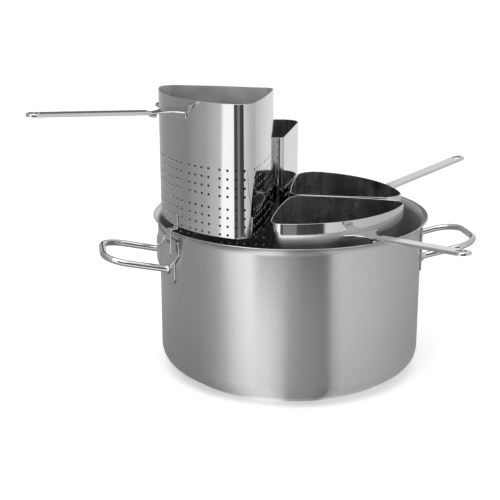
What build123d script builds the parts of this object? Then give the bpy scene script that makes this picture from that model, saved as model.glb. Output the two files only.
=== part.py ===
from build123d import *
import math
import os

# Pasta pot with four quarter-sector strainer baskets, in millimetres.
# The origin is the centre of the pot's underside, +Z is up, and the two loop handles lie on the X axis.
# The baskets stand where the photograph shows them: two seated, one half lifted, one hooked on the rim.

# Pot body
pot_height = 216.5
pot_outer_radius = 181.0
pot_gauge = 1.2
corner_radius = 24.5
lip_overhang = 7.7
flare_angle = 72.0

# Bonded base
base_thickness = 6.0
cap_gauge = 1.0
cap_edge_radius = 1.5

# Loop handles and their plates
rod_diameter = 9.0
loop_rod_spacing = 96.0
loop_end_width = 100.0
loop_length = 79.0
loop_corner_radius = 32.0
loop_drop = 59.0
loop_rise = 11.5
plate_gauge = 2.2
plate_top_width = 166.0
plate_waist_width = 142.0
plate_shoulder = 18.0
plate_taper = 17.0
plate_lobe_width = 36.0
plate_lobe_drop = 18.0
plate_arch = 10.0
plate_corner = 9.0
plate_under_flare = 2.0

# Basket sheet. A seated basket's foot height, gaps to the pot's wall and axis, and drop of its
# handle's seat below its top edge come first, with the height that the back left one is lifted by.
foot_height = 71.7
wall_gap = 24.3
axis_gap = 0.3
seat_drop = 18.4
half_lift = 77.9
basket_gauge = 1.0
arc_offset = 8.4
apex_radius = 8.0
corner_bend_radius = 21.0
half_angle = 45.0
floor_gauge = 1.0
floor_lift = 1.5

# Perforation: clusters of holes on the developed sheet, each square hole standing for four round ones
hole_width = 5.7
hole_pitch = 22.0
cluster_pitch = 49.5
cluster_side = 2
cluster_rows = 2
row_pitch = 49.5
first_row_height = 20.0
floor_hole_columns = 3
floor_hole_pitch = 30.0

# Drain hook at the foot of the curved wall
hook_width = 11.0
hook_gauge = 2.0
hook_reach = 10.9
hook_drop = 4.0
hook_leg = 34.0
hook_tab = 16.0
hook_bend = 4.0
hook_tip = 4.0

# Basket handle: bracket on the curved wall, its rest on the lip, channel bar, eyelet
bracket_width = 56.0
bracket_gauge = 2.0
bracket_flange = 8.0
bracket_root = 4.0
bracket_curve = 30.0
bracket_tongue = 14.0
rest_height = 4.5
rest_length = 6.0
rest_width = 12.0
neck_reach = 33.0
bar_start = 36.0
bar_end = 197.0
bar_width = 20.0
bar_depth = 5.0
bar_gauge = 1.6
tongue_clearance = 0.2
eyelet_length = 14.0
eyelet_width = 8.0
eyelet_margin = 5.0

# Clearances and cuts
running_clearance = 0.3
cut_overrun = 5.0
right_angle = 90.0

# Derived sizes of the pot
lip_radius = pot_outer_radius + lip_overhang
pot_inner_radius = pot_outer_radius - pot_gauge
flat_radius = pot_outer_radius - corner_radius
flare_sine = math.sin(math.radians(flare_angle))
flare_cosine = math.cos(math.radians(flare_angle))
flare_radius = lip_overhang / (1 - flare_cosine)
flare_start = pot_height - (flare_radius + pot_gauge) * flare_sine
plate_outer_radius = pot_outer_radius + plate_gauge
loop_reach = pot_outer_radius + loop_length
loop_height = pot_height - loop_drop

# Derived sizes of a basket, in its own frame: the origin is the foot of the curved wall's middle,
# x points outwards along the bisector and z up.
seated_radius = pot_inner_radius - wall_gap
basket_height = pot_height + running_clearance + rest_height + seat_drop - foot_height
arc_radius = seated_radius - axis_gap + arc_offset
arc_centre_x = -arc_radius
apex_x = arc_centre_x + arc_offset
rim_seat_reach = lip_radius - 2 * pot_gauge
half_angle_sine = math.sin(math.radians(half_angle))
half_angle_cosine = math.cos(math.radians(half_angle))
corner_turn = math.radians(half_angle) - math.asin(arc_offset * half_angle_sine / arc_radius)
corner_along = corner_turn * arc_radius
flat_length = arc_radius * math.sin(corner_turn) / half_angle_sine
flat_middle = corner_along + (flat_length + corner_bend_radius - apex_radius) / 2

# Where each basket stands: bearing and distance of its curved wall's middle from the pot's axis,
# heading of its bisector, height of its foot, rise of its handle.
hooked_radius = lip_radius + running_clearance - hook_reach
leaning_radius = pot_inner_radius - running_clearance - hook_reach - hook_gauge
hooked_foot = pot_height + running_clearance + hook_drop
baskets = {
    "front_right": (-67.1, seated_radius, -67.5, foot_height, 7.1),
    "back_right": (28.6, seated_radius, 27.2, foot_height, 9.5),
    "back_left": (115.6, leaning_radius, 114.0, foot_height + half_lift, 7.1),
    "front_left": (202.1, hooked_radius, 203.4, hooked_foot, 4.0),
}


def finish(piece, name):
    """Label a finished piece and write it to its own file."""
    piece.part.label = name
    export_step(piece.part, f"parts/{name}.step")


def pot_body():
    """Drawn shell: flat bottom, rounded corner, straight wall and flared pouring lip, revolved."""
    with BuildPart() as body:
        with BuildSketch(Plane.XZ):
            with BuildLine():
                foot = Line((0, base_thickness), (flat_radius, base_thickness))
                corner = JernArc(foot @ 1, (1, 0), corner_radius, right_angle)
                wall = Line(corner @ 1, (pot_outer_radius, flare_start))
                flare = JernArc(wall @ 1, (0, 1), flare_radius, -flare_angle)
                inner_tip = (
                    pot_outer_radius + flare_radius - (flare_radius + pot_gauge) * flare_cosine,
                    pot_height,
                )
                Line(flare @ 1, inner_tip)
                back = JernArc(inner_tip, (-flare_sine, -flare_cosine), flare_radius + pot_gauge, flare_angle)
                inner_wall = Line(back @ 1, (pot_inner_radius, base_thickness + corner_radius))
                inner_corner = JernArc(inner_wall @ 1, (0, -1), corner_radius - pot_gauge, -right_angle)
                floor = Line(inner_corner @ 1, (0, base_thickness + pot_gauge))
                Line(floor @ 1, foot @ 0)
            make_face()
        revolve(axis=Axis.Z)
    return body


def base_cap():
    """Shallow steel dish that encloses the heat-spreading disc under the pot."""
    with BuildPart() as cap:
        with BuildSketch():
            Circle(flat_radius)
        extrude(amount=base_thickness)
        with BuildSketch(Plane.XY.offset(cap_gauge)):
            Circle(flat_radius - cap_gauge)
        extrude(amount=base_thickness, mode=Mode.SUBTRACT)
        fillet(cap.edges().group_by(Axis.Z)[0], radius=cap_edge_radius)
    return cap


def base_core():
    """Aluminium disc sealed between the pot's bottom and the cap."""
    with BuildPart() as core:
        with BuildSketch(Plane.XY.offset(cap_gauge)):
            Circle(flat_radius - cap_gauge)
        extrude(amount=base_thickness - cap_gauge)
    return core


def loop_plane(side):
    """Plane of a loop handle's centreline: x outwards and rising, y along the wall."""
    rise = math.radians(loop_rise)
    return Plane(
        origin=(0, 0, loop_height - pot_outer_radius * math.tan(rise)),
        x_dir=(side * math.cos(rise), 0, math.sin(rise)),
        z_dir=(-side * math.sin(rise), 0, math.cos(rise)),
    )


def loop_handle(side):
    """Round rod bent to a loop, its ends cut to seat on the plate."""
    reach = loop_reach / math.cos(math.radians(loop_rise))
    root = flat_radius
    with BuildPart() as loop:
        with BuildLine(loop_plane(side)) as route:
            FilletPolyline(
                (root, loop_rod_spacing / 2),
                (reach, loop_end_width / 2),
                (reach, -loop_end_width / 2),
                (root, -loop_rod_spacing / 2),
                radius=loop_corner_radius,
            )
        path = route.wires()[0]
        with BuildSketch(Plane(origin=path @ 0, z_dir=path % 0)):
            Circle(rod_diameter / 2)
        sweep(path=path)
        with BuildSketch(Plane.XY):
            Circle(plate_outer_radius)
        extrude(amount=pot_height, mode=Mode.SUBTRACT)
    return loop


def handle_plate(side):
    """Shield plate curved on the wall: wide under the lip, waisted, with a lobe behind each rod."""
    top = flare_start - plate_under_flare
    lobe_foot = loop_height - plate_lobe_drop
    half_top = plate_top_width / 2
    half_waist = plate_waist_width / 2
    waist = top - plate_shoulder - plate_taper
    lobe_inner = half_waist - plate_lobe_width
    arch = lobe_foot + plate_arch
    with BuildPart() as plate:
        with BuildSketch(Plane.XY.offset(lobe_foot)):
            Circle(plate_outer_radius)
            Circle(pot_outer_radius, mode=Mode.SUBTRACT)
        extrude(amount=top - lobe_foot)
        with BuildSketch(Plane.YZ) as outline:
            Polygon(
                (-half_top, top),
                (half_top, top),
                (half_top, top - plate_shoulder),
                (half_waist, waist),
                (half_waist, lobe_foot),
                (lobe_inner, lobe_foot),
                (lobe_inner - plate_arch, arch),
                (plate_arch - lobe_inner, arch),
                (-lobe_inner, lobe_foot),
                (-half_waist, lobe_foot),
                (-half_waist, waist),
                (-half_top, top - plate_shoulder),
                align=None,
            )
            fillet(outline.vertices(), radius=plate_corner)
        extrude(amount=side * (plate_outer_radius + cut_overrun), mode=Mode.INTERSECT)
    return plate


def basket_frame(place):
    """Plane at the foot of a basket's curved wall, x outwards along its bisector."""
    bearing, radius, heading, foot, rise_angle = place
    bearing_turn = math.radians(bearing)
    heading_turn = math.radians(heading)
    return Plane(
        origin=(radius * math.cos(bearing_turn), radius * math.sin(bearing_turn), foot),
        x_dir=(math.cos(heading_turn), math.sin(heading_turn), 0),
        z_dir=(0, 0, 1),
    )


def quarter_outline(inset):
    """Plan of a basket, set in from its outer face: a wedge closed by an arc, with rounded corners."""
    setback = inset / half_angle_sine
    far = 2 * arc_radius
    with Locations((arc_centre_x, 0)):
        Circle(arc_radius - inset)
    Polygon(
        (apex_x + setback, 0),
        (apex_x + setback + far, -far * math.tan(math.radians(half_angle))),
        (apex_x + setback + far, far * math.tan(math.radians(half_angle))),
        align=None,
        mode=Mode.INTERSECT,
    )


def round_outline(sketch, inset):
    """Round the apex and the two outer corners of a quarter outline."""
    corners = sketch.vertices().sort_by(Axis.X)
    fillet(corners[0], radius=apex_radius - inset)
    fillet(sketch.vertices().sort_by(Axis.Y)[0], radius=corner_bend_radius - inset)
    fillet(sketch.vertices().sort_by(Axis.Y)[-1], radius=corner_bend_radius - inset)


def sheet_place(frame, along, height):
    """Plane square to the wall at a developed distance from the curved wall's middle."""
    turn = along / arc_radius
    if abs(turn) < corner_turn:
        x = arc_centre_x + arc_radius * math.cos(turn)
        y = arc_radius * math.sin(turn)
        normal = (math.cos(turn), math.sin(turn))
    else:
        side = math.copysign(1, along)
        from_apex = flat_length - (abs(along) - corner_along)
        x = apex_x + from_apex * half_angle_cosine
        y = side * from_apex * half_angle_sine
        normal = (-half_angle_sine, side * half_angle_cosine)
    tangent = frame.x_dir * -normal[1] + frame.y_dir * normal[0]
    return Plane(
        origin=frame.from_local_coords(Vector(x, y, height)),
        x_dir=tangent,
        z_dir=frame.x_dir * normal[0] + frame.y_dir * normal[1],
    )


def hole_places(frame):
    """Planes of the holes in one wall: square clusters in rows round the developed sheet."""
    half = cluster_pitch / 2
    one_side = [half, half + cluster_pitch, flat_middle - half, flat_middle + half]
    clusters = [-along for along in one_side] + one_side
    steps = [index - (cluster_side - 1) / 2 for index in range(cluster_side)]
    places = []
    for row in range(cluster_rows):
        for cluster in clusters:
            for step_up in steps:
                for step_along in steps:
                    height = first_row_height + row * row_pitch + step_up * hole_pitch
                    places.append(sheet_place(frame, cluster + step_along * hole_pitch, height))
    return places


def basket_wall(frame):
    """Bent sheet wall of a basket, perforated below its upper half."""
    with BuildPart() as wall:
        with BuildSketch(frame) as outer:
            quarter_outline(0)
            round_outline(outer, 0)
        extrude(amount=basket_height)
        with BuildSketch(frame) as inner:
            quarter_outline(basket_gauge)
            round_outline(inner, basket_gauge)
        extrude(amount=basket_height, mode=Mode.SUBTRACT)
        with BuildSketch(*hole_places(frame)):
            Rectangle(hole_width, hole_width)
        extrude(amount=cut_overrun, both=True, mode=Mode.SUBTRACT)
    return wall


def basket_floor(frame):
    """Perforated floor set just inside the foot of the wall."""
    with BuildPart() as floor:
        with BuildSketch(frame.offset(floor_lift)) as plan:
            quarter_outline(basket_gauge)
            round_outline(plan, basket_gauge)
            with Locations((apex_x / 2, 0)):
                with GridLocations(floor_hole_pitch, floor_hole_pitch, floor_hole_columns, floor_hole_columns):
                    Rectangle(hole_width, hole_width, mode=Mode.SUBTRACT)
        extrude(amount=floor_gauge)
    return floor


def drain_hook(frame):
    """Bent strip on the curved wall that hangs the basket on the pot's lip to drain."""
    side_plane = Plane(origin=frame.origin, x_dir=frame.x_dir, z_dir=-frame.y_dir)
    arm = hook_reach + hook_gauge
    with BuildPart() as hook:
        with BuildSketch(side_plane) as profile:
            Polygon(
                (0, hook_tab),
                (hook_gauge, hook_tab),
                (hook_gauge, hook_gauge - hook_drop),
                (arm, hook_gauge - hook_drop),
                (arm, -hook_drop - hook_leg),
                (hook_reach, -hook_drop - hook_leg),
                (hook_reach, -hook_drop),
                (0, -hook_drop),
                align=None,
            )
            fillet(profile.vertices().group_by(Axis.X)[-1].sort_by(Axis.Y)[-1], radius=hook_bend)
        extrude(amount=hook_width / 2, both=True)
        across = hook.edges().filter_by(Axis(frame.origin, frame.x_dir))
        fillet(across.group_by(Axis.Z)[0], radius=hook_tip)
    return hook


def handle_plane(frame, place):
    """Plane of a handle: it meets the curved wall and rises outwards, one rest height over the lip."""
    rise = math.radians(place[-1])
    seat = basket_height - seat_drop - (rim_seat_reach - seated_radius) * math.tan(rise)
    return Plane(
        origin=frame.from_local_coords(Vector(0, 0, seat)),
        x_dir=frame.x_dir * math.cos(rise) + frame.z_dir * math.sin(rise),
        z_dir=frame.z_dir * math.cos(rise) - frame.x_dir * math.sin(rise),
    )


def handle_bracket(frame, place):
    """T bracket: a flange on the curved wall, a plate that narrows to a tongue, and a rest on the lip."""
    plane = handle_plane(frame, place)
    half_root = bracket_width / 2
    half_neck = bar_width / 2 - bar_gauge - tongue_clearance
    tongue_end = bar_start + bracket_tongue
    seat_height = (plane.origin - frame.origin).dot(frame.z_dir)
    with BuildPart() as bracket:
        with BuildSketch(plane):
            with BuildLine():
                edge = Line((-bracket_root, half_root), (bracket_root, half_root))
                curve = RadiusArc(edge @ 1, (neck_reach, half_neck), -bracket_curve)
                Polyline(curve @ 1, (tongue_end, half_neck), (tongue_end, -half_neck), (neck_reach, -half_neck))
                other = RadiusArc((neck_reach, -half_neck), (bracket_root, -half_root), -bracket_curve)
                Polyline(other @ 1, (-bracket_root, -half_root), (-bracket_root, half_root))
            make_face()
        extrude(amount=bracket_gauge)
        with BuildSketch(plane):
            with Locations((rim_seat_reach - seated_radius, 0)):
                Rectangle(rest_length, rest_width)
        extrude(amount=-rest_height)
        with BuildSketch(frame.offset(seat_height - bracket_flange)):
            with Locations((arc_centre_x, 0)):
                Circle(arc_radius + bracket_gauge)
            with Locations((0, 0)):
                Rectangle(arc_radius, bracket_width, mode=Mode.INTERSECT)
        extrude(amount=bracket_flange + bracket_gauge / 2)
        with BuildSketch(frame):
            with Locations((arc_centre_x, 0)):
                Circle(arc_radius)
        extrude(amount=basket_height, mode=Mode.SUBTRACT)
    return bracket


def handle_bar(frame, place):
    """Channel bar over the bracket's tongue, with a rounded end and an eyelet."""
    plane = handle_plane(frame, place).offset(bracket_gauge + bar_gauge - bar_depth)
    end_radius = bar_width / 2
    end_centre = bar_end - end_radius
    inner = end_radius - bar_gauge
    eyelet_x = bar_end - eyelet_margin - eyelet_length / 2
    with BuildPart() as bar:
        with BuildSketch(plane):
            with Locations(((bar_start + end_centre) / 2, 0)):
                Rectangle(end_centre - bar_start, bar_width)
            with Locations((end_centre, 0)):
                Circle(end_radius)
        extrude(amount=bar_depth)
        with BuildSketch(plane):
            with Locations(((bar_start + end_centre - cut_overrun) / 2, 0)):
                Rectangle(end_centre - bar_start + cut_overrun, 2 * inner)
            with Locations((end_centre, 0)):
                Circle(inner)
        extrude(amount=bar_depth - bar_gauge, mode=Mode.SUBTRACT)
        with BuildSketch(plane):
            with Locations((eyelet_x, 0)):
                SlotOverall(eyelet_length, eyelet_width)
        extrude(amount=bar_depth, mode=Mode.SUBTRACT)
    return bar


os.makedirs("parts", exist_ok=True)

finish(pot_body(), "pot_body")
finish(base_cap(), "base_cap")
finish(base_core(), "base_core")
for side_name, side in (("left", -1), ("right", 1)):
    finish(loop_handle(side), f"loop_handle_{side_name}")
    finish(handle_plate(side), f"handle_plate_{side_name}")

for basket_name, place in baskets.items():
    frame = basket_frame(place)
    finish(basket_wall(frame), f"basket_wall_{basket_name}")
    finish(basket_floor(frame), f"basket_floor_{basket_name}")
    finish(drain_hook(frame), f"drain_hook_{basket_name}")
    finish(handle_bracket(frame, place), f"handle_bracket_{basket_name}")
    finish(handle_bar(frame, place), f"handle_bar_{basket_name}")
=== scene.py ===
import math

import bpy
import numpy as np
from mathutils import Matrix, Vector
from mathutils.geometry import delaunay_2d_cdt


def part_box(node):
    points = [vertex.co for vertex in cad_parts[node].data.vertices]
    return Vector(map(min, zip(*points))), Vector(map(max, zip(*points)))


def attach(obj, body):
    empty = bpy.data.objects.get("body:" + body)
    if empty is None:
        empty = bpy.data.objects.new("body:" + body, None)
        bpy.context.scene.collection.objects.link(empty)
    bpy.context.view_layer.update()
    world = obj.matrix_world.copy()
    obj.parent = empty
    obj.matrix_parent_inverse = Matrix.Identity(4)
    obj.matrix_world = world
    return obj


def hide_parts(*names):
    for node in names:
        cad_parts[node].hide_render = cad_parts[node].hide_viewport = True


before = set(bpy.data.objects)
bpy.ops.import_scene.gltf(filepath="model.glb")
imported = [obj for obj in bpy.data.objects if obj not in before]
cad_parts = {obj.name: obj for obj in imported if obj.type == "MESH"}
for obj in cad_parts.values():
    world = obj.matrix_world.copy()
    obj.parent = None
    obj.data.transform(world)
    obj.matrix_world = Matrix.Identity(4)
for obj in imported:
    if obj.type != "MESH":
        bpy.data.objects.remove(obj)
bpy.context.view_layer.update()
print("frame loaded")

mm = 0.001  # the sizes below are in millimetres, and the meshes in metres

# Camera: where it stands, where it looks, its focal length for a 36 mm wide film, and how near and
# far it sees
view = {
    "place": (-0.2975, -1.3994, 0.5842),
    "forward": (0.1626, 0.9448, -0.2844),
    "focal": 76.54,
    "reach": (0.05, 60.0),
}


def newObject(name, data):
    made = bpy.data.objects.new(name, data)
    bpy.context.collection.objects.link(made)
    return made


# A camera or a lamp at its place, looking along a direction.
def aimed(name, data, place, direction):
    holder = newObject(name, data)
    holder.location = place
    holder.rotation_mode = "QUATERNION"
    holder.rotation_quaternion = Vector(direction).to_track_quat("-Z", "Y")
    return holder


camera = aimed("camera", bpy.data.cameras.new("camera"), view["place"], view["forward"])
camera.data.lens = view["focal"]
camera.data.clip_start, camera.data.clip_end = view["reach"]
bpy.context.scene.camera = camera
bpy.context.scene.view_settings.view_transform = "Standard"
print("camera set")


# Mesh kit


# Vectors scaled to length one; one next to nothing stays so.
def unit(vectors):
    least = 1e-12
    return vectors / np.maximum(np.linalg.norm(vectors, axis=-1, keepdims=True), least)


# Difference of neighbours along one axis of a grid, taken round the end where the grid is closed.
def slope(points, axis, closed):
    if closed:
        return np.roll(points, -1, axis) - np.roll(points, 1, axis)
    return np.gradient(points, axis=axis)


# Normal of a grid of points: slope along the columns crossed with slope along the rows.
def gridNormals(points, closedCols=False):
    return unit(np.cross(slope(points, 1, closedCols), slope(points, 0, False)))


# Plan points given a height: one for all of them, or one for each.
def raised(points, height):
    heights = np.zeros(points.shape[:-1]) + height
    return np.concatenate([points, heights[..., None]], -1)


# Turns in radians that divide a circle equally.
def equalTurns(count):
    return np.linspace(0.0, 2 * np.pi, count, endpoint=False)


# Points of a unit circle: cosine and sine of each turn.
def onCircle(turn):
    return np.stack([np.cos(turn), np.sin(turn)], -1)


# Points on an arc of a plane, from one angle to another in degrees.
def arcPoints(centre, radius, start, end, count):
    return centre + radius * onCircle(np.radians(np.linspace(start, end, count)))


# Corners of a plane route joined by arcs: each arc leaves the run before it at the tangent point.
def filletRoute(corners, radius, perArc):
    corners = np.asarray(corners, float)
    route = [corners[:1]]
    for before, corner, after in zip(corners[:-2], corners[1:-1], corners[2:]):
        inward, outward = unit(corner - before), unit(after - corner)
        turn = math.acos(float(inward @ outward))
        side = math.copysign(1.0, inward[0] * outward[1] - inward[1] * outward[0])
        start = corner - inward * radius * math.tan(turn / 2)
        across = np.array([-inward[1], inward[0]]) * side
        sweep = np.linspace(0.0, turn, perArc)[:, None]
        route.append(start + across * radius * (1 - np.cos(sweep)) + inward * radius * np.sin(sweep))
    route.append(corners[-1:])
    return np.concatenate(route)


# Smooth step from 0 below the first edge to 1 above the second.
def easeBetween(low, high, values):
    share = np.clip((values - low) / (high - low), 0.0, 1.0)
    return share * share * (3 - 2 * share)


# How far a rounded corner pulls an edge back, by the distance from the side that it turns into.
def pulledBack(corner, distance):
    inset = np.clip(corner - distance, 0, corner)
    return corner - np.sqrt(corner ** 2 - inset ** 2)


# Rows and columns of the lattice points round a rectangle, from its low left corner.
def latticeRing(low, high, left, right):
    wide, tall = right - left, high - low
    rows = [np.full(wide, low), np.arange(low, high), np.full(wide, high), np.arange(high, low, -1)]
    cols = [np.arange(left, right), np.full(tall, right), np.arange(right, left, -1), np.full(tall, left)]
    return np.concatenate(rows), np.concatenate(cols)


# A plane in space: an origin in mm and three unit axes.
class Place:
    def __init__(self, origin, xAxis, yAxis, zAxis):
        self.origin = np.asarray(origin, float)
        self.axes = np.array([xAxis, yAxis, zAxis], float)

    def points(self, local):
        return local @ self.axes + self.origin

    def within(self, origin, turn):  # a further place, its x axis tipped up towards z by an angle
        x, y, z = self.axes
        tipped = x * math.cos(turn) + z * math.sin(turn)
        risen = z * math.cos(turn) - x * math.sin(turn)
        return Place(self.points(np.asarray(origin, float)), tipped, y, risen)


world = Place((0, 0, 0), (1, 0, 0), (0, 1, 0), (0, 0, 1))

# Welding: points that share a cell of a fine lattice, in mm, become one. The shift keeps round sizes
# off the cells' edges.
weld = {"cell": 1e-4, "shift": 0.37}


# Grids of quads with a normal at each point, welded into one closed mesh with its own corner normals.
class Skin:
    def __init__(self, place=world):
        self.place = place
        self.points, self.normals, self.quads, self.finishes = [], [], [], []
        self.size = 0

    def patch(self, points, normals, quads, finish=0):
        points, normals = points.reshape(-1, 3), normals.reshape(-1, 3)
        self.points.append(self.place.points(points))
        self.normals.append(normals @ self.place.axes)
        self.quads.append(quads.reshape(-1, 4) + self.size)
        self.finishes.append(np.full(quads.size // 4, finish))
        self.size += len(points)

    # A grid's quads join neighbouring rows and columns, and wrap round where its columns are closed.
    def grid(self, points, normals, closedCols=False, keep=None, finish=0):
        rows, cols = points.shape[:2]
        index = np.arange(rows * cols).reshape(rows, cols)
        if closedCols:
            index = np.concatenate([index, index[:, :1]], 1)
        quads = np.stack([index[:-1, :-1], index[:-1, 1:], index[1:, 1:], index[1:, :-1]], -1)
        if keep is not None:
            quads = quads[keep]
        self.patch(points, normals, quads, finish)

    # A flat cap: a ring of points joined to its middle.
    def cap(self, ring, middle, normal):
        disc = np.stack([ring, np.repeat(middle[None], len(ring), 0)])
        self.grid(disc, np.zeros_like(disc) + normal, closedCols=True)

    # Sides of holes: each ring on one face of a sheet joined to its copy on the other.
    def holeSides(self, rings):
        near, far = np.arange(rings.size // 3).reshape(rings.shape[:3])
        quads = np.stack([near, np.roll(near, -1, 1), np.roll(far, -1, 1), far], -1)
        self.patch(rings, unit(rings.mean(2, keepdims=True) - rings), quads)

    # Turns quads to face along their normals, welds points that meet, and drops repeated corners.
    def build(self, name, body, looks, node):
        points = np.concatenate(self.points) * mm
        normals = np.concatenate(self.normals)
        quads = np.concatenate(self.quads)
        finish = np.concatenate(self.finishes)
        one, two, three, four = (points[quads[:, k]] for k in range(4))
        facing = np.cross(three - one, four - two)
        turned = np.einsum("ij,ij->i", facing, normals[quads].sum(1)) < 0
        quads[turned] = quads[turned][:, ::-1]
        one, two, three, four = (points[quads[:, k]] for k in range(4))
        volume = np.einsum("ij,ij->i", one, np.cross(two, three) + np.cross(three, four)).sum()
        if volume < 0:
            quads, normals = quads[:, ::-1], -normals
        keys = np.floor(points / (mm * weld["cell"]) + weld["shift"]).astype(np.int64)
        first, same = np.unique(keys, axis=0, return_index=True, return_inverse=True)[1:]
        corners = same.reshape(-1)[quads]
        distinct = corners != np.roll(corners, 1, 1)
        distinct[distinct.sum(1) < 3] = False
        faces = [row[mask].tolist() for row, mask in zip(corners, distinct) if mask.any()]
        mesh = bpy.data.meshes.new(name)
        mesh.from_pydata(points[first].tolist(), [], faces)
        mesh.polygons.foreach_set("use_smooth", np.ones(len(faces), bool))
        mesh.polygons.foreach_set("material_index", finish[distinct.any(1)].astype(np.int32))
        mesh.normals_split_custom_set(normals[quads][distinct].tolist())
        for look in looks:
            mesh.materials.append(steels[look])
        piece = newObject(name, mesh)
        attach(piece, body)
        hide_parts(node)


# A profile of radii and heights turned round the z axis; its normal is square to its own run.
def revolve(skin, profile, steps, finish=0):
    circle = onCircle(equalTurns(steps))
    run = unit(np.gradient(profile, axis=0))
    facing = np.stack([run[:, 1], -run[:, 0]], -1)

    def around(pairs):
        return raised(pairs[:, None, :1] * circle, pairs[:, 1:])

    skin.grid(around(profile), around(facing), closedCols=True, finish=finish)


# A round rod along a plane route: rings of the given radii square to the route.
def rod(skin, route, planeNormal, radii, steps):
    run = unit(np.gradient(route, axis=0))
    side = np.cross(run, planeNormal)
    circle = onCircle(equalTurns(steps))
    ring = side[:, None] * circle[None, :, :1] + planeNormal * circle[None, :, 1:]
    swell = np.gradient(radii)[:, None, None] * run[:, None]
    length = np.linalg.norm(np.gradient(route, axis=0), axis=-1)[:, None, None]
    points = route[:, None] + radii[:, None, None] * ring
    skin.grid(points, unit(ring - swell / length), closedCols=True)
    for end, sign in ((0, -1.0), (-1, 1.0)):
        skin.cap(points[end], route[end], sign * run[end])


# Profile of a plain sheet's edge: a half circle from the outer face round to the inner one.
def roundEdge(gauge, count=7):
    turn = np.linspace(0.0, np.pi, count)
    return np.stack([gauge / 2 * np.sin(turn), gauge / 2 * (1 - np.cos(turn))], -1)


# Sheet metal from a grid of its outer face. The inner face lies one gauge behind it, and the edge
# profile, pairs of distance outwards and depth, is carried round the grid's border from face to face.
# A punch leaves out a rectangle of the grid and draws the points round it to a plan outline.
def pressedSheet(skin, outer, gauge, edge, outward, punch=None):
    normals = gridNormals(outer)
    normals *= np.sign(np.einsum("ijk,k->", normals, np.asarray(outward, float)))
    inner = outer - gauge * normals
    rows, cols = outer.shape[:2]
    keep = np.ones((rows - 1, cols - 1), bool)
    if punch:
        low, high, left, right, outline = punch
        keep[low:high, left:right] = False
        ringRow, ringCol = latticeRing(low, high, left, right)
        outer[ringRow, ringCol, :2] = outline
        inner[ringRow, ringCol, :2] = outline
        hole = np.stack([outer[ringRow, ringCol], inner[ringRow, ringCol]])
        skin.grid(hole, unit(hole[0].mean(0) - hole), closedCols=True)
    skin.grid(outer, normals, keep=keep)
    skin.grid(inner, -normals, keep=keep)
    borderRow, borderCol = latticeRing(0, rows - 1, 0, cols - 1)
    border, faceNormal = outer[borderRow, borderCol], normals[borderRow, borderCol]
    away = unit(np.cross(slope(border, 0, True), faceNormal))
    away *= np.sign(np.einsum("ij,ij->", away, border - border.mean(0)))
    rim = border + edge[:, None, :1] * away - edge[:, None, 1:] * faceNormal
    run = unit(np.gradient(edge, axis=0))
    rimNormal = run[:, None, 1:] * away + run[:, None, :1] * faceNormal
    rimNormal[0], rimNormal[-1] = faceNormal, -faceNormal
    skin.grid(rim, rimNormal, closedCols=True)


# Shader kit


# A socket that adds Math nodes as it is used in expressions.
class Value:
    def __init__(self, tree, socket):
        self.tree, self.socket = tree, socket

    def maths(self, operation, first, second):
        return self.tree.node("Math", {0: first, 1: second}, operation=operation)

    def __add__(self, other):
        return self.maths("ADD", self, other)

    def __sub__(self, other):
        return self.maths("SUBTRACT", self, other)

    def __rsub__(self, other):
        return self.maths("SUBTRACT", other, self)

    def __mul__(self, other):
        return self.maths("MULTIPLY", self, other)

    __radd__, __rmul__ = __add__, __mul__

    def __truediv__(self, other):
        return self.maths("DIVIDE", self, other)

    def arctan(self, other):
        return self.maths("ARCTAN2", self, other)


# A material's or world's nodes. node() makes any shader node from its type, its inputs, the output
# to use and its settings, which are set first.
class Shader:
    def __init__(self, owner):
        owner.use_nodes = True
        self.nodes, self.links = owner.node_tree.nodes, owner.node_tree.links
        self.nodes.clear()

    def node(self, kind, inputs=None, output=0, **settings):
        made = self.nodes.new("ShaderNode" + kind)
        for key, value in settings.items():
            if key == "stops":
                ramp = made.color_ramp
                while len(ramp.elements) < len(value):
                    ramp.elements.new(0.5)
                for element, (position, colour) in zip(ramp.elements, value):
                    element.position, element.color = position, (colour, colour, colour, 1.0)
            else:
                setattr(made, key, value)
        for key, value in (inputs or {}).items():
            if isinstance(value, Value):
                self.links.new(value.socket, made.inputs[key])
            else:
                made.inputs[key].default_value = value
        return Value(self, made.outputs[output]) if made.outputs else None

    # The x, y and z of a vector.
    def split(self, vector):
        outputs = self.node("SeparateXYZ", {"Vector": vector}).socket.node.outputs
        return [Value(self, output) for output in outputs]

    # Smooth step of a value: the least below the low edge, and 1 above the high one.
    def smooth(self, value, low, high, least=0.0):
        edges = {"Value": value, "From Min": low, "From Max": high, "To Min": least}
        return self.node("MapRange", edges, interpolation_type="SMOOTHSTEP")


def newMaterial(name):
    material = bpy.data.materials.new(name)
    return material, Shader(material)


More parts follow.
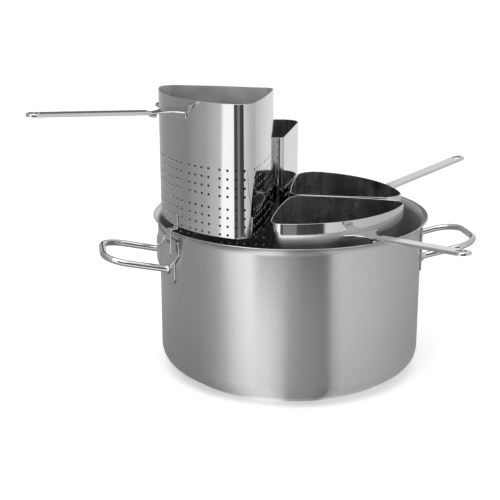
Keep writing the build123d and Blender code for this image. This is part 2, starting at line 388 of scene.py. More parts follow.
# Metal finishes. Roughness and colour vary a little with two noises: cloud is broad staining and
# grain is the brushing, whose scales along x, y and z set its direction. A finish with painted depth
# shade has its colour darkened, as painted shade, from its high level, in metres, down to its low one, where
# the least share of its colour is left.
finishes = {
    "potSatin": {
        "colour": 0.60, "rough": 0.27, "anisotropic": 0.85, "grain": (2.0, 2.0, 900.0), "grainDepth": 0.03,
        "cloud": 9.0, "cloudTint": 0.04, "cloudRough": 0.03,
    },
    "potInside": {
        "colour": 0.60, "rough": 0.40, "anisotropic": 0.85, "grain": (2.0, 2.0, 700.0), "grainDepth": 0.03,
        "grainTint": 0.06, "cloud": 14.0, "cloudTint": 0.12, "cloudRough": 0.06, "metallic": 0.8,
    },
    "baseSatin": {
        "colour": 0.84, "rough": 0.45, "grain": (2.0, 2.0, 1400.0), "grainDepth": 0.03, "grainRough": 0.06,
        "cloud": 10.0, "cloudRough": 0.04,
    },
    "coreAluminium": {
        "colour": 0.72, "rough": 0.45, "grain": (60.0, 60.0, 60.0), "grainDepth": 0.05, "cloud": 10.0,
    },
    "rodPolished": {
        "colour": 0.64, "rough": 0.12, "grain": (220.0, 220.0, 220.0), "grainDepth": 0.02,
        "grainTint": 0.03, "cloud": 30.0, "cloudTint": 0.04,
    },
    "platePolished": {
        "colour": 0.58, "rough": 0.17, "grain": (90.0, 90.0, 500.0), "grainDepth": 0.02,
        "grainTint": 0.03, "cloud": 30.0,
    },
    "basketPolished": {
        "colour": 0.64, "rough": 0.075, "grain": (260.0, 260.0, 6.0), "grainDepth": 0.006,
        "grainTint": 0.03, "grainRough": 0.03, "cloud": 11.0, "cloudRough": 0.03,
    },
    # Front left basket's inside: its raised colour is painted light, paler than the other insides, and its
    # lower part gets painted shade
    "insideLitShaded": {
        "colour": 0.80, "rough": 0.42, "grain": (160.0, 160.0, 10.0), "grainDepth": 0.01,
        "grainTint": 0.06, "grainRough": 0.06, "cloud": 26.0, "cloudTint": 0.2, "cloudRough": 0.15,
        "paintedDepthShade": {"low": 0.31, "high": 0.37, "least": 0.3},
    },
    "insideSteamed": {
        "colour": 0.62, "rough": 0.24, "grain": (70.0, 70.0, 3.0), "grainDepth": 0.01,
        "grainTint": 0.32, "grainRough": 0.1, "cloud": 16.0, "cloudTint": 0.5, "cloudRough": 0.25,
    },
    "handleSteel": {
        "colour": 0.68, "rough": 0.10, "grain": (160.0, 160.0, 160.0), "grainDepth": 0.02,
        "grainTint": 0.04, "grainRough": 0.06, "cloud": 24.0, "cloudRough": 0.04,
    },
}
# What every finish has unless it says otherwise
usual = {
    "metallic": 1.0, "anisotropic": 0.0, "brushTurn": 0.25, "blueShare": 0.99, "grainDetail": 3.0,
    "grainTint": 0.05, "grainRough": 0.05, "cloudDetail": 4.0, "cloudWarp": 0.6, "cloudTint": 0.05,
    "cloudRough": 0.05,
}


# Steel: metallic, its colour tinted and its roughness raised by the two noises, each centred on zero.
def steel(name):
    look = {**usual, **finishes[name]}
    material, shader = newMaterial(name)
    place = shader.node("TexCoord", output="Object")
    stretched = shader.node("Mapping", {"Vector": place, "Scale": look["grain"]})
    grain = shader.node("TexNoise", {"Vector": stretched, "Scale": 1.0, "Detail": look["grainDetail"]}) - 0.5
    cloud = shader.node("TexNoise", {
        "Vector": place, "Scale": look["cloud"], "Detail": look["cloudDetail"],
        "Distortion": look["cloudWarp"],
    }) - 0.5
    tone = look["colour"] * (1 + 2 * look["grainTint"] * grain + 2 * look["cloudTint"] * cloud)
    # painted shade: the colour is darkened towards the bottom, by height
    if "paintedDepthShade" in look:
        tone = tone * shader.smooth(shader.split(place)[2], **look["paintedDepthShade"])
    colour = shader.node("CombineColor", {"Red": tone, "Green": tone, "Blue": tone * look["blueShare"]})
    rough = look["rough"] + 2 * look["grainRough"] * grain + 2 * look["cloudRough"] * cloud
    bump = shader.node("Bump", {"Distance": look["grainDepth"] * mm, "Height": grain})
    surface = shader.node("BsdfPrincipled", {
        "Base Color": colour, "Metallic": look["metallic"], "Roughness": rough, "Normal": bump,
        "Anisotropic": look["anisotropic"], "Anisotropic Rotation": look["brushTurn"],
    })
    shader.node("OutputMaterial", {"Surface": surface})
    return material


steels = {name: steel(name) for name in finishes}
print("steels mixed")

# Pot: drawn shell with a flared lip, on a bonded base. The outer finish laps over the lip by a few
# points of the profile.
pot = {
    "height": 216.5, "radius": 181.0, "gauge": 1.2, "corner": 24.5, "overhang": 7.7, "flare": 72.0,
    "baseHeight": 6.0, "capGauge": 1.0, "capEdge": 1.5, "steps": 192,
    "cornerPoints": 17, "flarePoints": 15, "lipPoints": 4, "capPoints": 7, "finishLap": 10,
}
flareTurn = math.radians(pot["flare"])
pot["flat"] = pot["radius"] - pot["corner"]
pot["flareRadius"] = pot["overhang"] / (1 - math.cos(flareTurn))
pot["flareStart"] = pot["height"] - (pot["flareRadius"] + pot["gauge"]) * math.sin(flareTurn)
pot["lip"] = pot["radius"] + pot["overhang"]


# Shell profile: outer bottom, corner, wall and flare, the lip's rounded edge, then back down inside.
def makePot():
    base, gauge, bend, flareRadius = pot["baseHeight"], pot["gauge"], pot["corner"], pot["flareRadius"]
    corner = (pot["flat"], base + bend)
    flare = (pot["radius"] + flareRadius, pot["flareStart"])
    tipTurn = 180 - pot["flare"]
    tip = arcPoints(flare, flareRadius + gauge / 2, tipTurn, tipTurn, 1)[0]
    outside = np.concatenate([
        [(0, base)],
        arcPoints(corner, bend, -90, 0, pot["cornerPoints"]),
        arcPoints(flare, flareRadius, 180, tipTurn, pot["flarePoints"]),
        arcPoints(tip, gauge / 2, tipTurn - 180, tipTurn - 90, pot["lipPoints"])[1:],
    ])
    inside = np.concatenate([
        arcPoints(tip, gauge / 2, tipTurn - 90, tipTurn, pot["lipPoints"]),
        arcPoints(flare, flareRadius + gauge, tipTurn, 180, pot["flarePoints"])[1:],
        arcPoints(corner, bend - gauge, 0, -90, pot["cornerPoints"]),
        [(0, base + gauge)],
    ])
    whole = np.concatenate([outside, inside[1:]])
    split = len(outside) + pot["finishLap"]
    skin = Skin()
    revolve(skin, whole[:split], pot["steps"])
    revolve(skin, whole[split - 1:], pot["steps"], finish=1)
    skin.build("pot_shell", "pot", ["potSatin", "potInside"], "pot_body")


# Cap profile: underside, rounded foot edge and side, then the hollow round the disc.
def makeCap():
    flat, gauge, edge, top = pot["flat"], pot["capGauge"], pot["capEdge"], pot["baseHeight"]
    footEdge = arcPoints((flat - edge, edge), edge, -90, 0, pot["capPoints"])
    runs = (
        np.concatenate([[(0, 0)], footEdge, [(flat, top)]]),
        [(flat, top), (flat - gauge, top)],
        [(flat - gauge, top), (flat - gauge, gauge)],
        [(flat - gauge, gauge), (0, gauge)],
    )
    skin = Skin()
    for run in runs:
        revolve(skin, np.array(run, float), pot["steps"])
    skin.build("bonded_cap", "pot", ["baseSatin"], "base_cap")


makePot()
makeCap()
print("pot made")

# Loop handles: a bent rod welded to a plate, with a small weld fillet at each root, where the rod's
# rings stand closest. The plate is pressed out fully within the first of each pair of distances from
# the middle of the bulge, and not at all beyond the second.
loop = {
    "rod": 9.0, "spacing": 96.0, "endWidth": 100.0, "reach": 260.0, "corner": 32.0, "height": 157.5,
    "rise": 11.5, "root": 175.6, "steps": 28, "perArc": 15,
    "weld": 2.4, "weldLength": 2.6, "weldPower": 1.4, "weldRings": (0, 1.4, 2.4, 3.4, 4.6, 6, 8, 12, 20),
}
plate = {
    "gauge": 2.2, "halfTop": 83.0, "halfWaist": 71.0, "shoulder": 18.0, "taper": 17.0, "underFlare": 2.0,
    "lobeWidth": 36.0, "lobeDrop": 18.0, "arch": 10.0, "archLap": 3.0, "corner": 9.0, "rows": 30, "cols": 61,
    "bulge": 2.6, "bulgeLift": 12.0, "bulgeAcross": (16.0, 36.0), "bulgeUp": (12.0, 24.0),
}


# Rod: the route lies in a plane that rises outwards, and its radius swells to the weld at each root.
def makeLoop(name, side):
    rise = math.radians(loop["rise"])
    along, up = math.cos(rise), math.sin(rise)
    origin = (0, 0, loop["height"] - pot["radius"] * math.tan(rise))
    root, reach = loop["root"] / along, loop["reach"] / along
    halfRoot, halfEnd = loop["spacing"] / 2, loop["endWidth"] / 2
    near = np.array(loop["weldRings"])
    bend = filletRoute([(root, halfRoot), (reach, halfEnd), (reach, -halfEnd), (root, -halfRoot)],
                       loop["corner"], loop["perArc"])
    start = np.stack([root + near, halfRoot + near * (halfEnd - halfRoot) / (reach - root)], -1)
    route = np.concatenate([start, bend[1:-1], (start * (1, -1))[::-1]])
    fromRoot = route[:, 0] - root
    radii = loop["rod"] / 2 + loop["weld"] * np.exp(-(fromRoot / loop["weldLength"]) ** loop["weldPower"])
    skin = Skin(Place(origin, (side * along, 0, up), (0, side, 0), (-side * up, 0, along)))
    rod(skin, raised(route, 0.0), np.array([0.0, 0.0, 1.0]), radii, loop["steps"])
    skin.build(f"loop_rod_{name}", "pot", ["rodPolished"], f"loop_handle_{name}")


# Plate: width falls smoothly from shoulder to waist, the foot rises in an arch between two lobes,
# all corners are rounded, and the middle is pressed out a little.
def makePlate(name, side):
    gauge, edge, corner = plate["gauge"], plate["gauge"] / 2, plate["corner"]
    top = pot["flareStart"] - plate["underFlare"]
    foot = loop["height"] - plate["lobeDrop"]
    halfTop, halfWaist = plate["halfTop"] - edge, plate["halfWaist"] - edge
    across = np.sin(np.linspace(-np.pi / 2, np.pi / 2, plate["cols"]))[None, :]
    down = (1 - np.cos(np.linspace(0, np.pi, plate["rows"])))[:, None] / 2
    yTop, yFoot = across * halfTop, across * halfWaist
    zTop = top - edge - pulledBack(corner, halfTop - np.abs(yTop))
    archHalf = plate["halfWaist"] - plate["lobeWidth"]
    archEnds = (archHalf - 2 * plate["arch"], archHalf + plate["archLap"])
    archRise = plate["arch"] * (1 - easeBetween(*archEnds, np.abs(yFoot)))
    zFoot = foot + edge + archRise + pulledBack(corner, halfWaist - np.abs(yFoot))
    z = zTop + (zFoot - zTop) * down
    waist = easeBetween(plate["shoulder"], plate["shoulder"] + plate["taper"], top - z)
    y = yTop + (yFoot - yTop) * waist
    inWidth = 1 - easeBetween(*plate["bulgeAcross"], np.abs(y))
    inHeight = 1 - easeBetween(*plate["bulgeUp"], np.abs(z - loop["height"] - plate["bulgeLift"]))
    radius = pot["radius"] + gauge + plate["bulge"] * (inWidth * inHeight)
    turn = y / (pot["radius"] + gauge)
    outer = np.stack([side * radius * np.cos(turn), radius * np.sin(turn), z], -1)
    skin = Skin()
    pressedSheet(skin, outer, gauge, roundEdge(gauge), (side, 0, 0))
    skin.build(f"shield_plate_{name}", "pot", ["platePolished"], f"handle_plate_{name}")


for name, side in (("left", -1), ("right", 1)):
    makeLoop(name, side)
    makePlate(name, side)
print("loop handles made")

# Sheet of a basket's wall, with its top edge, the plan's wall arc and sides, and how it seats: drop
# of the bracket below the top, and reach of the lip's top from a seated basket's wall
sheet = {
    "height": 168.0, "gauge": 1.0, "edge": 0.5, "edgePoints": 7, "arc": 163.6, "offset": 8.4,
    "sideMiddle": 78.0, "sideHalf": 60.0, "seatDrop": 18.4, "seatedRadius": 155.5,
}
sheet["seatReach"] = pot["lip"] - 2 * pot["gauge"] - sheet["seatedRadius"]
# Baskets: where each one stands, as bearing and distance of its curved wall's middle, heading and the
# rise of its handle, how its sheet is bent at the apex and the outer bends, how far its sides bulge,
# and the finish inside. The foot heights are read from the frame.
spots = {
    "front_right": {
        "bearing": -67.1, "radius": sheet["seatedRadius"], "heading": -67.5, "rise": 7.1,
        "apex": 18.0, "bend": 16.5, "bulge": 3.0, "inside": "insideSteamed",
    },
    "back_right": {
        "bearing": 28.6, "radius": sheet["seatedRadius"], "heading": 27.2, "rise": 9.5,
        "apex": 18.0, "bend": 28.0, "bulge": 2.0, "inside": "insideSteamed",
    },
    "back_left": {
        "bearing": 115.6, "radius": 166.6, "heading": 114.0, "rise": 7.1,
        "apex": 8.0, "bend": 24.0, "bulge": 0.3, "inside": "insideSteamed",
    },
    "front_left": {
        "bearing": 202.1, "radius": 178.1, "heading": 203.4, "rise": 4.0,
        "apex": 18.0, "bend": 22.0, "bulge": 2.4, "inside": "insideLitShaded",
    },
}
# Perforation: blocks of the lattice round each hole, in square clusters of four by four
holes = {
    "radius": 1.8, "pitch": 11.0, "clusterPitch": 49.6, "firstCluster": -201.4, "clusters": 10, "side": 4,
    "firstRow": 3.6, "rowPitch": 49.3, "clusterRows": 2, "block": 6.0, "steps": 5, "firstTurn": 225.0,
    "fine": 1.2, "coarse": 3.6, "bendLap": 4.0,
}


def standingPlace(name):
    spot = spots[name]
    bearing, heading = math.radians(spot["bearing"]), math.radians(spot["heading"])
    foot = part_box(f"basket_wall_{name}")[0].z / mm
    along = (math.cos(heading), math.sin(heading), 0)
    origin = (spot["radius"] * math.cos(bearing), spot["radius"] * math.sin(bearing), foot)
    return Place(origin, along, (-along[1], along[0], 0), (0, 0, 1))


# Numbers of the plan outline: four arcs on each side, each touching the next. They are the curved
# wall, the outer bend, the side, whose large circle gives its bulge, and the apex.
def planNumbers(spot):
    diagonal = np.array([1.0, 1.0]) * math.sqrt(0.5)
    outward = diagonal * (-1, 1)
    side = sheet["sideHalf"] ** 2 / (2 * spot["bulge"])
    radii = np.array([sheet["arc"], spot["bend"], side, spot["apex"]])
    wallCentre = np.array([-sheet["arc"], 0.0])
    sideMiddle = wallCentre + (sheet["offset"], 0) + sheet["sideMiddle"] * diagonal
    sideCentre = sideMiddle + (spot["bulge"] - side) * outward
    # the bend's centre is one bend radius inside both circles
    span = float(np.linalg.norm(sideCentre - wallCentre))
    ahead = (sideCentre - wallCentre) / span
    across = np.array([-ahead[1], ahead[0]])
    near, far = radii[0] - radii[1], side - radii[1]
    run = (span ** 2 + near ** 2 - far ** 2) / (2 * span)
    bendCentre = wallCentre + run * ahead + math.sqrt(near ** 2 - run ** 2) * across
    apexCentre = np.array([sideCentre[0] - math.sqrt((side - spot["apex"]) ** 2 - sideCentre[1] ** 2), 0.0])
    lines = np.stack([bendCentre - wallCentre, bendCentre - sideCentre, apexCentre - sideCentre])
    turns = np.concatenate([[0.0], np.arctan2(lines[:, 1], lines[:, 0]), [np.pi]])
    return {
        "centres": np.stack([wallCentre, bendCentre, sideCentre, apexCentre]),
        "radii": radii,
        "turns": turns,
        "ends": np.concatenate([[0.0], np.cumsum(radii * np.diff(turns))]),
    }


# Plan point and outward normal at a developed distance from the curved wall's middle: each arc's
# centre plus its radius along its turn. The two sides mirror each other.
def planPoint(plan, along):
    half = plan["ends"][-1]
    along = (along + half) % (2 * half) - half
    distance = np.abs(along)
    part = np.searchsorted(plan["ends"][1:-1], distance)
    turn = plan["turns"][part] + (distance - plan["ends"][part]) / plan["radii"][part]
    circle = onCircle(turn)
    mirror = np.stack([np.ones_like(turn), np.where(along < 0, -1.0, 1.0)], -1)
    return (plan["centres"][part] + plan["radii"][part][..., None] * circle) * mirror, circle * mirror


# Space point and normal of the sheet at a developed distance, a height and a depth behind its face.
def sheetPoint(plan, along, height, depth):
    at, normal = planPoint(plan, along)
    return raised(at - depth * normal, height), raised(normal, 0.0)


# Lattice lines along one direction: each hole has a block of five steps, and the blanks between are
# divided at the widths that their places ask for. It gives the lines and each block's first line.
def latticeLines(firsts, end, widthAt):
    slack = 1e-6  # a share of a step too small for a line of its own
    lines, starts = [], []
    for number, centre in enumerate(firsts):
        starts.append(len(lines))
        lines += list(centre + np.linspace(-holes["block"] / 2, holes["block"] / 2, holes["steps"] + 1))
        following = firsts[number + 1] - holes["block"] / 2 if number + 1 < len(firsts) else end
        steps = math.ceil((following - lines[-1]) / widthAt((following + lines[-1]) / 2) - slack)
        lines += list(np.linspace(lines[-1], following, steps + 1)[1:-1])
    return np.array(lines), np.array(starts)


# Width of a blank step along the sheet: fine over a bend and a lap past it, coarse where nearly flat.
def blankWidth(plan, along):
    wallEnd, bendEnd, sideEnd, half = plan["ends"][1:]
    distance, lap = abs((along + half) % (2 * half) - half), holes["bendLap"]
    bending = wallEnd - lap < distance < bendEnd + lap or distance > sideEnd - lap
    return holes["fine"] if bending else holes["coarse"]


# Wall: a lattice on the developed sheet whose lines bend to a circle round every hole, bent to the
# plan. Both faces, the holes' sides, the rounded top edge and the foot edge close it.
def makeWall(name, place):
    plan = planNumbers(spots[name])
    topLevel = sheet["height"] - sheet["edge"]
    step = np.arange(holes["side"]) * holes["pitch"]
    clusters = holes["firstCluster"] + np.arange(holes["clusters"]) * holes["clusterPitch"]
    columns = (clusters[:, None] + step - step.mean()).reshape(-1)
    clusterRows = holes["firstRow"] + np.arange(holes["clusterRows"]) * holes["rowPitch"]
    levels = (clusterRows[:, None] + step).reshape(-1)
    lap = columns[0] - holes["block"] / 2 + 2 * plan["ends"][-1]
    u, uStarts = latticeLines(columns, lap, lambda along: blankWidth(plan, along))
    v, vStarts = latticeLines(levels, topLevel, lambda level: sheet["height"])
    v = np.concatenate([[0.0], v[v < levels[-1] + holes["block"]], [topLevel]])
    vStarts = vStarts + 1
    height, along = np.meshgrid(v, u, indexing="ij")
    # the twelve lattice points round a block's middle, at equal turns from its lower left corner
    last = holes["steps"] - 1
    ringRow, ringCol = latticeRing(1, last, 1, last)
    ringTurn = math.radians(holes["firstTurn"]) + equalTurns(len(ringRow))
    row = vStarts[:, None, None] + ringRow
    col = uStarts[None, :, None] + ringCol
    ringAlong = columns[None, :, None] + holes["radius"] * np.cos(ringTurn)
    ringHeight = levels[:, None, None] + holes["radius"] * np.sin(ringTurn)
    row, col, ringAlong, ringHeight = np.broadcast_arrays(row, col, ringAlong, ringHeight)
    along[row, col], height[row, col] = ringAlong, ringHeight
    keep = np.ones((len(v) - 1, len(u)), bool)
    inside = [(starts[:, None] + np.arange(1, last)).reshape(-1) for starts in (vStarts, uStarts)]
    keep[np.ix_(*inside)] = False
    skin = Skin(place)
    outer, normal = sheetPoint(plan, along, height, 0.0)
    inner = sheetPoint(plan, along, height, sheet["gauge"])[0]
    skin.grid(outer, normal, closedCols=True, keep=keep)
    skin.grid(inner, -normal, closedCols=True, keep=keep, finish=1)
    skin.holeSides(np.stack([outer[row, col], inner[row, col]]).reshape(2, -1, len(ringRow), 3))
    # the top edge: a half circle over the sheet's two faces
    turn = np.linspace(0.0, np.pi, sheet["edgePoints"])[:, None]
    half, upward = sheet["gauge"] / 2, np.array([0.0, 0.0, 1.0])
    rim, outward = sheetPoint(plan, u + 0 * turn, topLevel + sheet["edge"] * np.sin(turn),
                              (half - half * np.cos(turn))[..., None])
    skin.grid(rim, outward * np.cos(turn)[..., None] + upward * np.sin(turn)[..., None], closedCols=True)
    foot = np.stack([sheetPoint(plan, u, 0.0, depth)[0] for depth in (0.0, sheet["gauge"])])
    skin.grid(foot, np.zeros_like(foot) - upward, closedCols=True)
    skin.build(f"perforated_wall_{name}", f"basket_{name}",
               ["basketPolished", spots[name]["inside"]], f"basket_wall_{name}")


# Floor: where its pattern's middle lies, how many clusters to each side of that, and how far its
# holes keep from the wall
floor = {
    "gauge": 1.0, "lift": 0.2, "points": 180, "middle": -72.0, "clusters": 2, "margin": 7.0, "sides": 12,
}


# Floor: the plan outline and a square pattern of round holes, joined by a constrained triangulation.
def makeFloor(name, place):
    plan = planNumbers(spots[name])
    half = plan["ends"][-1]
    at, normal = planPoint(plan, np.linspace(-half, half, floor["points"], endpoint=False))
    outline = at - sheet["gauge"] * normal
    step = np.arange(holes["side"]) * holes["pitch"]
    clusters = np.arange(-floor["clusters"], floor["clusters"] + 1) * holes["clusterPitch"]
    line = (clusters[:, None] + (step - step.mean())).reshape(-1)
    centres = np.stack(np.meshgrid(line + floor["middle"], line, indexing="ij"), -1).reshape(-1, 2)
    # kept where they lie well within the wall's and the side's circles, short of bend and apex
    folded = np.stack([centres[:, 0], np.abs(centres[:, 1])], -1)
    depth = [plan["radii"][k] - np.linalg.norm(folded - plan["centres"][k], axis=-1) for k in (0, 2)]
    short = (folded[:, 1] <= plan["centres"][1, 1]) & (folded[:, 0] >= plan["centres"][3, 0])
    centres = centres[(np.minimum(*depth) > floor["margin"]) & short]
    rings = centres[:, None] + onCircle(equalTurns(floor["sides"])) * holes["radius"]
    flat = np.concatenate([outline, rings.reshape(-1, 2)])
    loops = [np.arange(len(outline)), *(len(outline) + np.arange(rings.size // 2).reshape(len(centres), -1))]
    edges = np.concatenate([np.stack([part, np.roll(part, -1)], -1) for part in loops])
    withinOutline, nearest = 1, 1e-6  # what to keep, and how near two points are one
    made = delaunay_2d_cdt([Vector(p) for p in flat], edges.tolist(), [], withinOutline, nearest)
    faces = np.array([list(face) for face in made[2]])
    # a triangle is in a hole where its middle lies nearer to the hole's than the hole's sides do
    apothem = holes["radius"] * math.cos(math.pi / floor["sides"])
    away = np.linalg.norm(flat[faces].mean(1)[:, None] - centres[None], axis=-1)
    quads = faces[(away >= apothem).all(1)][:, [0, 1, 2, 2]]
    low, high = floor["lift"], floor["lift"] + floor["gauge"]
    skin = Skin(place)
    for level, sign in ((low, -1.0), (high, 1.0)):
        face = raised(flat, level)
        skin.patch(face, np.zeros_like(face) + (0, 0, sign), quads)
    skin.holeSides(np.stack([raised(rings, low), raised(rings, high)]))
    skin.grid(np.stack([raised(outline, low), raised(outline, high)]), np.stack([raised(normal, 0.0)] * 2),
              closedCols=True)
    skin.build(f"perforated_floor_{name}", f"basket_{name}",
               [spots[name]["inside"]], f"basket_floor_{name}")


# Hook: the rows are distances down the leg from its bend, and up from its tip
hook = {
    "width": 11.0, "gauge": 2.0, "reach": 10.9, "drop": 4.0, "leg": 34.0, "tab": 16.0, "bend": 4.0,
    "inside": 1.2, "tip": 4.0, "tipShare": 0.8, "legRows": (8.0, 15.0, 22.0),
    "tipRows": (4.0, 2.6, 1.4, 0.5, 0.0), "tabPoints": 3, "insidePoints": 5, "bendPoints": 8,
    "edgePoints": 5, "cols": 5,
}


# Drain hook: a strip whose face runs down the tab, turns out along the arm and down the leg.
def makeHook(name, place):
    gauge, arm, bend, inside = hook["gauge"], hook["reach"] + hook["gauge"], hook["bend"], hook["inside"]
    level, edge = gauge - hook["drop"], gauge / 2
    tip = -hook["drop"] - hook["leg"] + edge
    face = np.concatenate([
        [(gauge, z) for z in np.linspace(hook["tab"] - edge, hook["tab"] / 3, hook["tabPoints"])],
        arcPoints((gauge + inside, level + inside), inside, 180, 270, hook["insidePoints"]),
        arcPoints((arm - bend, level - bend), bend, 90, 0, hook["bendPoints"]),
        [(arm, level - bend - run) for run in hook["legRows"]],
        [(arm, tip + rest) for rest in hook["tipRows"]],
    ])
    half = hook["width"] / 2 - edge - pulledBack(hook["tip"], face[:, 1] - tip) * hook["tipShare"]
    y = half[:, None] * np.linspace(-1, 1, hook["cols"])
    outer = np.stack([face[:, :1] + 0 * y, y, face[:, 1:] + 0 * y], -1)
    skin = Skin(place)
    pressedSheet(skin, outer, gauge, roundEdge(gauge, hook["edgePoints"]), (1, 0, 0.5))
    skin.build(f"bent_hook_{name}", f"basket_{name}", ["basketPolished"],
               f"drain_hook_{name}")


# Bracket: the flange's rows are heights above its foot, and the run's are distances from the wall
bracket = {
    "width": 56.0, "gauge": 2.0, "flange": 8.0, "root": 4.0, "curve": 30.0, "neck": 33.0, "bend": 2.6,
    "corner": 3.0, "lift": 3.0, "restHeight": 4.5, "restLength": 6.0, "restWidth": 12.0, "restCorner": 1.2,
    "restPoints": 5, "flangeRows": (0.0, 0.8, 2.0, 4.0), "bendPoints": 7,
    "runRows": (4.0, 6, 8, 10, 13, 16, 20, 24, 28, 33, 40, 46, 48, 49), "cols": 17,
}
# Bar: its rows are distances from the wall, then shares of the way out over its round end. The slot
# takes up some rows and columns of that lattice, and the first point round it lies at the slot's turn.
bar = {
    "start": 36.0, "end": 197.0, "width": 20.0, "depth": 4.2, "gauge": 1.6, "clearance": 0.2, "bend": 2.0,
    "slotLength": 15.0, "slotWidth": 11.0, "margin": 4.5, "bendPoints": 5, "lipPoints": 7, "cols": 9,
    "rows": (60, 90, 120, 150, 168, 174, 178, 181, 184), "endShares": (0.3, 0.6, 0.82, 1.0),
    "slotRows": (7, 12), "slotCols": (2, 6), "slotTurn": 220.0,
}


# Half width of the bracket along its run: full at the root, then a concave arc in to the neck.
def bracketHalf(x):
    full, neck = bracket["width"] / 2, bar["width"] / 2 - bar["gauge"] - bar["clearance"]
    start, end = np.array([bracket["root"], full]), np.array([bracket["neck"], neck])
    middle, chord = (start + end) / 2, end - start
    reach = math.sqrt(bracket["curve"] ** 2 - float(chord @ chord) / 4)
    centre = middle + reach * unit(np.array([-chord[1], chord[0]]))
    spread = np.clip(x, start[0], end[0]) - centre[0]
    curved = centre[1] - np.sqrt(bracket["curve"] ** 2 - spread ** 2)
    return np.where(x <= start[0], full, np.where(x >= end[0], neck, curved))


# Rest: a rounded rectangle under the bracket, its rings going down and then in round the foot.
def makeRest(skin, middle):
    height, corner = bracket["restHeight"], bracket["restCorner"]
    turn = np.radians(np.linspace(0, 90, bracket["restPoints"]))
    quarter = onCircle(turn)
    square = np.array([bracket["restLength"], bracket["restWidth"]]) / 2 - corner
    signs = np.array([[1, 1], [-1, 1], [-1, -1], [1, -1]])
    arcs = np.stack([quarter * sign if sign.prod() > 0 else (quarter * sign)[::-1] for sign in signs])
    level = np.concatenate([[0.0, corner - height], -height + corner * (1 - np.sin(turn[1:]))])
    size = np.concatenate([[corner, corner], corner * np.cos(turn[1:])])
    rings = signs[:, None] * square + size[:, None, None, None] * arcs
    points = raised(rings.reshape(len(level), -1, 2) + (middle, 0), level[:, None])
    skin.grid(points, gridNormals(points, closedCols=True), closedCols=True)
    for end, sign in ((0, 1.0), (-1, -1.0)):
        skin.cap(points[end], points[end].mean(0), (0, 0, sign))


# Bracket: one sheet whose face runs up the flange on the wall, over a bend and out to the tongue. Its
# root stands a little high, and the flange leans back by the handle's rise to lie on the wall.
def makeBracket(name, place, rise):
    gauge, edge, bend = bracket["gauge"], bracket["gauge"] / 2, bracket["bend"]
    low = -bracket["flange"] + edge
    run = np.concatenate([
        [(0, low + height) for height in bracket["flangeRows"]],
        arcPoints((bend, gauge - bend), bend, 180, 90, bracket["bendPoints"]),
        [(distance, gauge) for distance in bracket["runRows"]],
    ])
    half = bracketHalf(run[:, 0]) - edge - pulledBack(bracket["corner"], run[:, 1] - low)
    y = half[:, None] * np.linspace(-1, 1, bracket["cols"])
    sag = sheet["arc"] - np.sqrt(sheet["arc"] ** 2 - y ** 2)
    nearWall = 1 - easeBetween(bracket["root"], bracket["neck"], run[:, :1])
    z = run[:, 1:] + bracket["lift"] * nearWall
    x = run[:, :1] - (sag - z * math.tan(rise)) * nearWall
    outer = np.stack([x, y, z + 0 * y], -1)
    skin = Skin(place)
    pressedSheet(skin, outer, gauge, roundEdge(gauge), (-0.3, 0, 1))
    makeRest(skin, sheet["seatReach"])
    skin.build(f"pressed_bracket_{name}", f"basket_{name}", ["handleSteel"],
               f"handle_bracket_{name}")


# Bar: the web is a strip whose end is a half disc, both mapped from one lattice, and its edge profile
# is the skirt: out and down over the bend, round the lower edge, and up again inside.
def makeBar(name, place):
    bend, gauge, depth = bar["bend"], bar["gauge"], bar["depth"]
    half, centre = bar["width"] / 2 - bend, bar["end"] - bar["width"] / 2
    across = np.linspace(-1, 1, bar["cols"])[None]
    straight = np.array([bar["start"] + bend, *bar["rows"], centre])[:, None]
    endShare = np.array(bar["endShares"])[:, None]
    x = np.concatenate([straight + 0 * across, centre + half * endShare * np.sqrt(1 - across ** 2 / 2)])
    y = half * np.concatenate([across + 0 * straight, across * np.sqrt(1 - endShare ** 2 / 2)])
    outer = raised(np.stack([x, y], -1), bracket["gauge"] + gauge)
    # the slot's outline: a circle whose two halves are moved apart
    (low, high), (left, right) = bar["slotRows"], bar["slotCols"]
    circle = onCircle(math.radians(bar["slotTurn"]) - equalTurns(2 * (high - low + right - left)))
    slotMiddle = bar["end"] - bar["margin"] - bar["slotLength"] / 2
    slotHalf = (bar["slotLength"] - bar["slotWidth"]) / 2
    slot = circle * bar["slotWidth"] / 2 + np.sign(circle) * (slotHalf, 0) + (slotMiddle, 0)
    down = np.radians(np.linspace(0, 90, bar["bendPoints"]))
    edge = np.concatenate([
        np.stack([bend * np.sin(down), bend * (1 - np.cos(down))], -1),
        arcPoints((bend - gauge / 2, depth - gauge / 2), gauge / 2, 0, 180, bar["lipPoints"]),
        [(bend - gauge, bend), (0.0, gauge)],
    ])
    skin = Skin(place)
    pressedSheet(skin, outer, gauge, edge, (0, 0, 1), punch=(low, high, left, right, slot))
    skin.build(f"channel_bar_{name}", f"basket_{name}", ["handleSteel"],
               f"handle_bar_{name}")


for name in spots:
    standing = standingPlace(name)
    makeWall(name, standing)
    makeFloor(name, standing)
    makeHook(name, standing)
    rise = math.radians(spots[name]["rise"])
    seat = sheet["height"] - sheet["seatDrop"] - sheet["seatReach"] * math.tan(rise)
    handle = standing.within((0, 0, seat), rise)
    makeBracket(name, handle, rise)
    makeBar(name, handle)
    print("basket made:", name)

# The sealed disc keeps its own solid
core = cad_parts["base_core"]
core.data.materials.clear()
core.data.materials.append(steels["coreAluminium"])

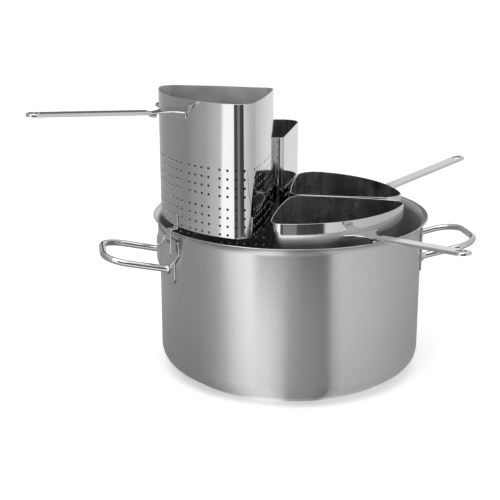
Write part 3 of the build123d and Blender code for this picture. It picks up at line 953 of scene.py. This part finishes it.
# Studio: light at each compass angle from the camera, in degrees to the camera's right, as a mirror
# on the object sees it: a tall soft box to the left, the dark side of the room behind the camera,
# and pale walls round the rest. The ceiling comes in between two heights of a direction. The table's
# reach and shade are in metres from the object's middle, and the shade ends with its least share.
studio = {
    "cameraBearing": math.atan2(view["place"][1], view["place"][0]),
    "walls": [
        (-180, 0.14), (-164, 0.16), (-160, 0.58), (-150, 0.46), (-135, 0.38), (-92, 0.33), (-76, 0.46),
        (-69, 0.5), (-62, 0.64), (-53, 0.76), (-51.5, 1.45), (-28, 1.4), (-26, 0.1), (-8, 0.09), (-5, 0.3),
        (7, 0.3), (8.5, 0.09), (31.5, 0.06), (33, 0.95), (45, 0.85), (80, 0.68), (125, 0.64), (150, 0.68),
        (155, 0.8), (161, 0.86), (180, 0.86),
    ],
    "table": [
        (-180, 0.5), (-150, 0.43), (-78, 0.4), (-66, 0.48), (-54, 0.72), (-43, 1.15), (-32, 1.42),
        (-18, 1.42), (-8, 1.1), (0, 0.62), (10, 0.52), (22, 0.47), (34.5, 0.32), (36, 0.6), (46, 0.84),
        (74, 0.74), (104, 0.56), (140, 0.4), (160, 0.42), (180, 0.5),
    ],
    "ceiling": 0.75, "ceilingReach": (0.45, 0.8), "tableMiddle": 0.095, "tableReach": (0.83, 0.92),
    "tableShade": (0.2, 0.5, 0.78), "floorSize": 40.0, "floorTone": 0.9, "floorGlow": 0.42,
}
white = (1.0, 1.0, 1.0, 1.0)


# Brightness by compass angle: a ramp read at the angle of a direction from the camera's own bearing,
# as seen from a middle moved towards the camera.
def stripLight(shader, x, y, strips, middle=0.0):
    full = 2  # a ramp goes up to 1, so it holds levels as shares of this
    ahead, aside = math.cos(studio["cameraBearing"]), math.sin(studio["cameraBearing"])
    forward = x * ahead + y * aside - middle
    rightward = y * ahead - x * aside
    angle = rightward.arctan(forward) / (2 * math.pi) + 0.5
    stops = [(degrees / 360 + 0.5, level / full) for degrees, level in studio[strips]]
    return full * shader.node("ValToRGB", {"Fac": angle}, stops=stops)


# World: white to the camera, and to all else the walls' strips, which pass into the ceiling.
def makeWorld():
    skyWorld = bpy.data.worlds.new("studio")
    bpy.context.scene.world = skyWorld
    shader = Shader(skyWorld)
    x, y, z = shader.split(shader.node("TexCoord"))
    high = shader.smooth(z, *studio["ceilingReach"])
    level = stripLight(shader, x, y, "walls") * (1 - high) + studio["ceiling"] * high
    seen = shader.node("LightPath", output="Is Camera Ray")
    strength = seen + level * (1 - seen)
    background = shader.node("Background", {"Color": white, "Strength": strength})
    shader.node("OutputWorld", {"Surface": background})


# Floor: white with the object's shadow to the camera. To the metal it shows the table's strips, a
# little darker close by, and further out the walls' strips.
def makeStudioFloor():
    size = studio["floorSize"]
    corners = [(-size, -size, 0), (size, -size, 0), (size, size, 0), (-size, size, 0)]
    mesh = bpy.data.meshes.new("studio_floor")
    mesh.from_pydata(corners, [], [(0, 1, 2, 3)])
    ground = newObject("studio_floor", mesh)
    material, shader = newMaterial("studio_floor")
    place = shader.node("TexCoord", output="Object")
    x, y = shader.split(place)[:2]
    distance = shader.node("VectorMath", {0: place}, "Value", operation="LENGTH")
    table = stripLight(shader, x, y, "table", studio["tableMiddle"])
    table = table * shader.smooth(distance, *studio["tableShade"])
    walls = stripLight(shader, x, y, "walls")
    shown = table + shader.smooth(distance, *studio["tableReach"]) * (walls - table)
    seen = shader.node("LightPath", output="Is Camera Ray")
    glossy = shader.node("LightPath", output="Is Glossy Ray")
    tone = studio["floorTone"]
    plain = shader.node("BsdfDiffuse", {"Color": (tone, tone, tone, 1.0)})
    glow = shader.node("Emission", {"Color": white, "Strength": seen * studio["floorGlow"]})
    pale = shader.node("AddShader", {0: plain, 1: glow})
    surroundings = shader.node("Emission", {"Color": white, "Strength": shown})
    surface = shader.node("MixShader", {0: glossy, 1: pale, 2: surroundings})
    shader.node("OutputMaterial", {"Surface": surface})
    mesh.materials.append(material)


lamp = {"place": (-0.4, -0.5, 1.9), "size": 1.6, "power": 14.0}


# Lamp: a wide square light overhead, turned towards the foot of the object.
def makeLamp():
    light = bpy.data.lights.new("overhead", "AREA")
    light.shape, light.size, light.energy = "SQUARE", lamp["size"], lamp["power"]
    aimed("overhead", light, lamp["place"], -Vector(lamp["place"]))


makeWorld()
makeStudioFloor()
makeLamp()
print("studio set")
